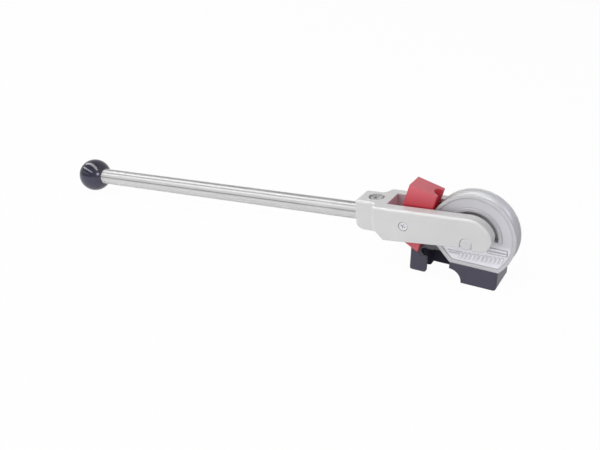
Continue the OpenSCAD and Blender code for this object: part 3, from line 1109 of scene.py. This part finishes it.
@dataclass
class LeverArm:
    """Fork, handle and knob: what swings."""

    lever: Lever
    slot_half: float = 14.5 * MM
    slot_end: float = 84.5 * MM
    slot_slack: float = 0.05 * MM
    side_normal: float = 0.5
    clamp_reach: float = 100.5 * MM
    socket_r: float = 3.3 * MM
    knob_reach: float = 477.5 * MM
    # Fork paint: paler edges as edge wear and painted highlight
    paint: PaintFinish = PaintFinish(
        "satin_grey_fork",
        (0.655, 0.655, 0.655),
        roughness=0.4,
        clouding=0.03,
        edge_radius=1.2 * MM,
        edge_wear_and_painted_light=1.08,
        coat=0.25,
        coat_roughness=0.2,
    )
    # Painted shade and painted reflection of the red shoe: darker mauve paint on the sides of the slot
    slot_side_shade: PaintFinish = PaintFinish(
        "slot_side_painted_shade", (0.5, 0.4, 0.445), roughness=0.5, clouding=0.1, gloss=0.4
    )
    # Painted light and painted reflection of the red shoe: paler pinkish paint on the slot's closed end
    slot_end_light: PaintFinish = PaintFinish("slot_end_painted_light", (0.82, 0.78, 0.83), roughness=0.5, clouding=0.1)
    insert: MetalFinish = MetalFinish("brass_insert", (0.62, 0.45, 0.2), Grain.TURNED, Axis.LEVER)
    screw: MetalFinish = MetalFinish(
        "grey_clamp_screw", (0.33, 0.33, 0.34), Grain.TURNED, Axis.UPRIGHT, roughness=0.4, metallic=0.4
    )
    # Painted light: pale paint inside the clamp screw's socket, where shade falls
    socket: MetalFinish = MetalFinish(
        "screw_socket_painted_light", (0.6, 0.6, 0.61), Grain.TURNED, Axis.UPRIGHT, roughness=0.5, metallic=0.1
    )
    washer: MetalFinish = MetalFinish(
        "zinc_washer", (0.36, 0.36, 0.37), Grain.TURNED, Axis.UPRIGHT, roughness=0.4, metallic=0.5
    )
    pin: MetalFinish = MetalFinish(
        "zinc_shoe_pin", (0.76, 0.76, 0.79), Grain.TURNED, Axis.ACROSS, roughness=0.34, metallic=0.5
    )
    nut: MetalFinish = MetalFinish("zinc_nut", (0.48, 0.48, 0.5), Grain.GROUND, Axis.ACROSS)

    def screw_face(self, centre: Vector, normal: Vector) -> int:
        """Returns 1 for the faces inside the clamp screw's socket, which carry painted light, and 0 for the
        other ones.
        """
        return int(math.hypot(self.lever.along(centre) - self.clamp_reach, centre.y) < self.socket_r)

    def fork_face(self, centre: Vector, normal: Vector) -> int:
        """Chooses the fork's finish for one face.

        Args:
            centre: The face's middle.
            normal: The face's outward normal.

        Returns:
            0 for paint, 1 for the sides of the slot, with painted shade and reflection, 2 for its closed end,
            with painted light and reflection.
        """
        within = abs(centre.y) < self.slot_half + self.slot_slack
        if not within or self.lever.along(centre) > self.slot_end + self.slot_slack:
            return 0
        return 1 if abs(normal.y) > self.side_normal else 2

    def handle_finish(self) -> TubeFinish:
        """Returns the drawn bright steel of the handle, with painted reflection bands round it and lines
        along the lever.
        """
        axis = self.lever.world(0.0, 0.0, self.lever.rise)
        return TubeFinish("bright_drawn_tube", (0.65, 0.643, 0.642), tuple(axis), self.lever.rest)

    def knob_finish(self) -> KnobFinish:
        """Returns the gloss of the ball knob."""
        centre = self.lever.world(self.knob_reach, 0.0, self.lever.rise)
        # The second colour is the painted reflection of the floor on the knob's lower part, also used on its
        # inner side
        return KnobFinish("gloss_black_knob", (0.008, 0.007, 0.026), (0.044, 0.041, 0.075), tuple(centre))

    def plug_finish(self) -> MetalFinish:
        """Returns the plain steel of the plugs inside the handle."""
        return MetalFinish(
            "plain_plug",
            (0.45, 0.45, 0.46),
            Grain.TURNED,
            Axis.LEVER,
            turn_y=self.lever.rest,
            centre=tuple(self.lever.pivot),
        )

    def build(self) -> None:
        """Dresses the solids of the lever."""
        paints = [self.paint.build(), self.slot_side_shade.build(), self.slot_end_light.build()]
        dress_by_face("fork", paints, self.fork_face)
        dress("handle_tube", self.handle_finish().build())
        plug = self.plug_finish().build()
        dress("handle_plug", plug)
        dress("knob_stud", plug)
        dress_by_face("clamp_screw", [self.screw.build(), self.socket.build()], self.screw_face)
        dress("clamp_washer", self.washer.build())
        dress("ball_knob", self.knob_finish().build())
        dress("knob_insert", self.insert.build())
        pin = self.pin.build()
        dress("shoe_pin", pin)
        dress("shoe_pin_washer", pin)
        dress("shoe_spacers", pin)
        dress("shoe_pin_nut", self.nut.build())


@dataclass
class PressureShoe:
    """The shoe that presses the tube round the former."""

    front_normal: float = 0.3
    top_normal: float = 0.7
    # Shoe paint: paler edges as edge wear and painted highlight, and painted light at the top and the foot
    paint: PaintFinish = PaintFinish(
        "satin_red_shoe",
        (0.47, 0.021, 0.04),
        roughness=0.4,
        clouding=0.06,
        skin_scale=1000.0,
        edge_radius=1.6 * MM,
        edge_wear_and_painted_light=1.2,
        gloss=0.42,
        painted_light=(0.66, 0.125, 0.155),
        painted_light_top=(70.0 * MM, 91.0 * MM),
        painted_light_foot=(31.0 * MM, 36.0 * MM),
    )
    # Painted light: a brighter red on the faces towards the former, which lie in shade
    groove: PaintFinish = PaintFinish(
        "red_shoe_front_painted_light", (0.72, 0.045, 0.075), roughness=0.45, clouding=0.08, gloss=0.3
    )
    bush: MetalFinish = MetalFinish("brass_bush", (0.6, 0.44, 0.2), Grain.TURNED, Axis.ACROSS)

    def shoe_face(self, centre: Vector, normal: Vector) -> int:
        """Returns 1 for the faces towards the former, groove and all, which carry painted light, and 0 for
        the other paint.
        """
        return int(normal.x > self.front_normal and normal.z < self.top_normal)

    def build(self) -> None:
        """Dresses the shoe and its bush."""
        dress_by_face("shoe", [self.paint.build(), self.groove.build()], self.shoe_face)
        dress("shoe_bush", self.bush.build())


@dataclass(frozen=True)
class Softbox:
    """A flat soft lamp: a square panel aimed at a target, or a long strip that hangs level."""

    name: str
    use: Use
    place: Triple
    size: float
    power: float
    length: float = 0.0
    turn: float = 0.0
    target: Triple | None = None
    tint: Colour = WHITE

    def build(self) -> bpy.types.Object:
        """Hangs the lamp.

        Returns:
            The lamp object.
        """
        data = bpy.data.lights.new(self.name, "AREA")
        data.shape = "RECTANGLE"
        data.size = self.length or self.size
        data.size_y = self.size
        data.energy = self.power
        data.color = self.tint
        lamp = bpy.data.objects.new(self.name, data)
        lamp.location = self.place
        lamp.rotation_euler = (0.0, 0.0, math.radians(self.turn))
        if self.target:
            aim = Vector(self.target) - Vector(self.place)
            lamp.rotation_euler = aim.to_track_quat("-Z", "Y").to_euler()
        lamp.visible_glossy = self.use is Use.MIRROR
        lamp.visible_diffuse = self.use is Use.LIGHT
        bpy.context.scene.collection.objects.link(lamp)
        return lamp


@dataclass(frozen=True)
class Viewpoint:
    """The camera, set at the viewpoint of the picture of the real bender."""

    azimuth: float = 27.9008
    elevation: float = 25.5961
    roll: float = 0.4132
    focal_px: float = 829.48
    place: Triple = (0.189044, -0.718334, 0.405742)
    frame_px: int = 600
    sensor_mm: float = 36.0
    clip: Span = (0.01, 50.0)

    def build(self) -> bpy.types.Object:
        """Places the camera.

        Returns:
            The camera object.
        """
        a, e, t = (math.radians(v) for v in (self.azimuth, self.elevation, self.roll))
        right = Vector((math.cos(a), math.sin(a), 0.0))
        up = Vector((-math.sin(a) * math.sin(e), math.cos(a) * math.sin(e), math.cos(e)))
        ahead = Vector((-math.sin(a) * math.cos(e), math.cos(a) * math.cos(e), -math.sin(e)))
        right, up = right * math.cos(t) + up * math.sin(t), up * math.cos(t) - right * math.sin(t)
        data = bpy.data.cameras.new("view_camera")
        data.sensor_width = self.sensor_mm
        data.lens = self.focal_px / self.frame_px * self.sensor_mm
        data.clip_start, data.clip_end = self.clip
        camera = bpy.data.objects.new("view_camera", data)
        turn = Matrix((right, up, -ahead)).transposed()
        camera.matrix_world = Matrix.Translation(Vector(self.place)) @ turn.to_4x4()
        bpy.context.scene.collection.objects.link(camera)
        bpy.context.scene.camera = camera
        return camera


@dataclass
class Studio:
    """Pale floor, soft lamps and world."""

    floor_half: float = 6.0
    floor_colour: Colour = (0.92, 0.92, 0.92)
    floor_glow: float = 0.97
    world_level: float = 0.18
    lamps: tuple[Softbox, ...] = (
        Softbox("near_strip", Use.LIGHT, (-1.15, 0.2, STRIP_RISE), 0.22, 13.6, length=3.2, turn=-31.0),
        Softbox("far_strip", Use.LIGHT, (-1.9, -1.2, STRIP_RISE), 0.3, 23.5, length=3.4, turn=-33.0),
        Softbox("near_streak", Use.MIRROR, (-1.7, 0.32, STREAK_RISE), 0.42, 54.0, length=4.86, turn=-18.8),
        Softbox("far_streak", Use.MIRROR, (-2.5, -0.86, STREAK_RISE), 0.45, 66.0, length=5.41, turn=-21.9),
        Softbox("low_streak", Use.MIRROR, (-3.4, -3.3, STREAK_RISE), 0.6, 34.0, length=5.6, turn=-21.5),
        Softbox(
            "side_window",
            Use.MIRROR,
            (2.45, -1.6, 1.52),
            1.1,
            36.0,
            target=(-0.47, 0.0, 0.02),
            tint=(0.84, 0.82, 1.0),
        ),
        Softbox(
            "right_fill",
            Use.LIGHT,
            (2.0, -1.0, 0.8),
            2.0,
            12.0,
            target=(0.0, 0.0, 0.05),
            tint=(0.96, 0.94, 1.0),
        ),
        Softbox("front_softbox", Use.LIGHT, (-0.8, -2.3, 1.1), 3.0, 36.5, target=(-0.1, 0.0, 0.05)),
    )

    @staticmethod
    def seen(tree: bpy.types.NodeTree) -> Socket:
        """Finds rays that look at the background directly or in a reflection.

        Args:
            tree: The node tree to add to.

        Returns:
            A socket that is 1 for such rays.
        """
        path = tree.nodes.new("ShaderNodeLightPath")
        total = path.outputs["Is Camera Ray"]
        for name in ("Is Glossy Ray", "Is Transmission Ray"):
            total = combine(tree, "MAXIMUM", total, path.outputs[name])
        return total

    def build_floor(self) -> bpy.types.Object:
        """Lays the floor, which looks white but keeps the shadow.

        Returns:
            The floor object.
        """
        half = self.floor_half

        def fill(bm: bmesh.types.BMesh) -> None:
            """Adds one large face."""
            corners = [(-half, -half), (half, -half), (half, half), (-half, half)]
            bm.faces.new([bm.verts.new((x, y, 0.0)) for x, y in corners])

        floor = mesh_object("studio_floor", fill)
        material = bpy.data.materials.new("pale_floor")
        material.use_nodes = True
        tree = material.node_tree
        tree.nodes.clear()
        output = tree.nodes.new("ShaderNodeOutputMaterial")
        diffuse = tree.nodes.new("ShaderNodeBsdfDiffuse")
        diffuse.inputs["Color"].default_value = (*self.floor_colour, 1.0)
        glow = tree.nodes.new("ShaderNodeEmission")
        glow.inputs["Color"].default_value = (*WHITE, 1.0)
        mix = tree.nodes.new("ShaderNodeMixShader")
        tree.links.new(combine(tree, "MULTIPLY", self.seen(tree), self.floor_glow), mix.inputs["Fac"])
        tree.links.new(diffuse.outputs["BSDF"], mix.inputs[1])
        tree.links.new(glow.outputs["Emission"], mix.inputs[2])
        tree.links.new(mix.outputs["Shader"], output.inputs["Surface"])
        floor.data.materials.append(material)
        return floor

    def build_world(self) -> None:
        """Sets a white background and an even soft light."""
        world = bpy.data.worlds.new("soft_world")
        world.use_nodes = True
        tree = world.node_tree
        tree.nodes.clear()
        output = tree.nodes.new("ShaderNodeOutputWorld")
        light = tree.nodes.new("ShaderNodeBackground")
        light.inputs["Color"].default_value = (*WHITE, 1.0)
        light.inputs["Strength"].default_value = self.world_level
        white = tree.nodes.new("ShaderNodeBackground")
        white.inputs["Color"].default_value = (*WHITE, 1.0)
        white.inputs["Strength"].default_value = 1.0
        mix = tree.nodes.new("ShaderNodeMixShader")
        tree.links.new(self.seen(tree), mix.inputs["Fac"])
        tree.links.new(light.outputs["Background"], mix.inputs[1])
        tree.links.new(white.outputs["Background"], mix.inputs[2])
        tree.links.new(mix.outputs["Shader"], output.inputs["Surface"])
        bpy.context.scene.world = world

    def build(self) -> None:
        """Sets up floor, world and lamps."""
        self.build_floor()
        self.build_world()
        for lamp in self.lamps:
            lamp.build()
        bpy.context.scene.view_settings.view_transform = "Standard"


def read_lever() -> Lever:
    """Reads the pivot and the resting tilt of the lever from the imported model.

    Returns:
        The lever's frame.
    """
    joints = {joint["name"]: joint for joint in frame["joints"]}
    pivot = Vector(joints["lever_swing"]["pos_m"])
    pin = Vector(joints["shoe_tilt"]["pos_m"]) - pivot
    rest = math.atan2(SHOE_PIN_RISE, SHOE_PIN_REACH) - math.atan2(pin.z, -pin.x)
    LOG.info("pivot at %s, lever resting %.3f degrees down", tuple(pivot), math.degrees(rest))
    return Lever(pivot, rest, HANDLE_RISE)


def main() -> None:
    """Builds the dressed bender, the studio and the camera."""
    logging.basicConfig(level=logging.INFO, format="%(name)s: %(message)s")
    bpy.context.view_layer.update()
    lever = read_lever()
    Stand(lever.pivot).build()
    LeverArm(lever).build()
    PressureShoe().build()
    Studio().build()
    Viewpoint().build()


if __name__ == "__main__":
    main()
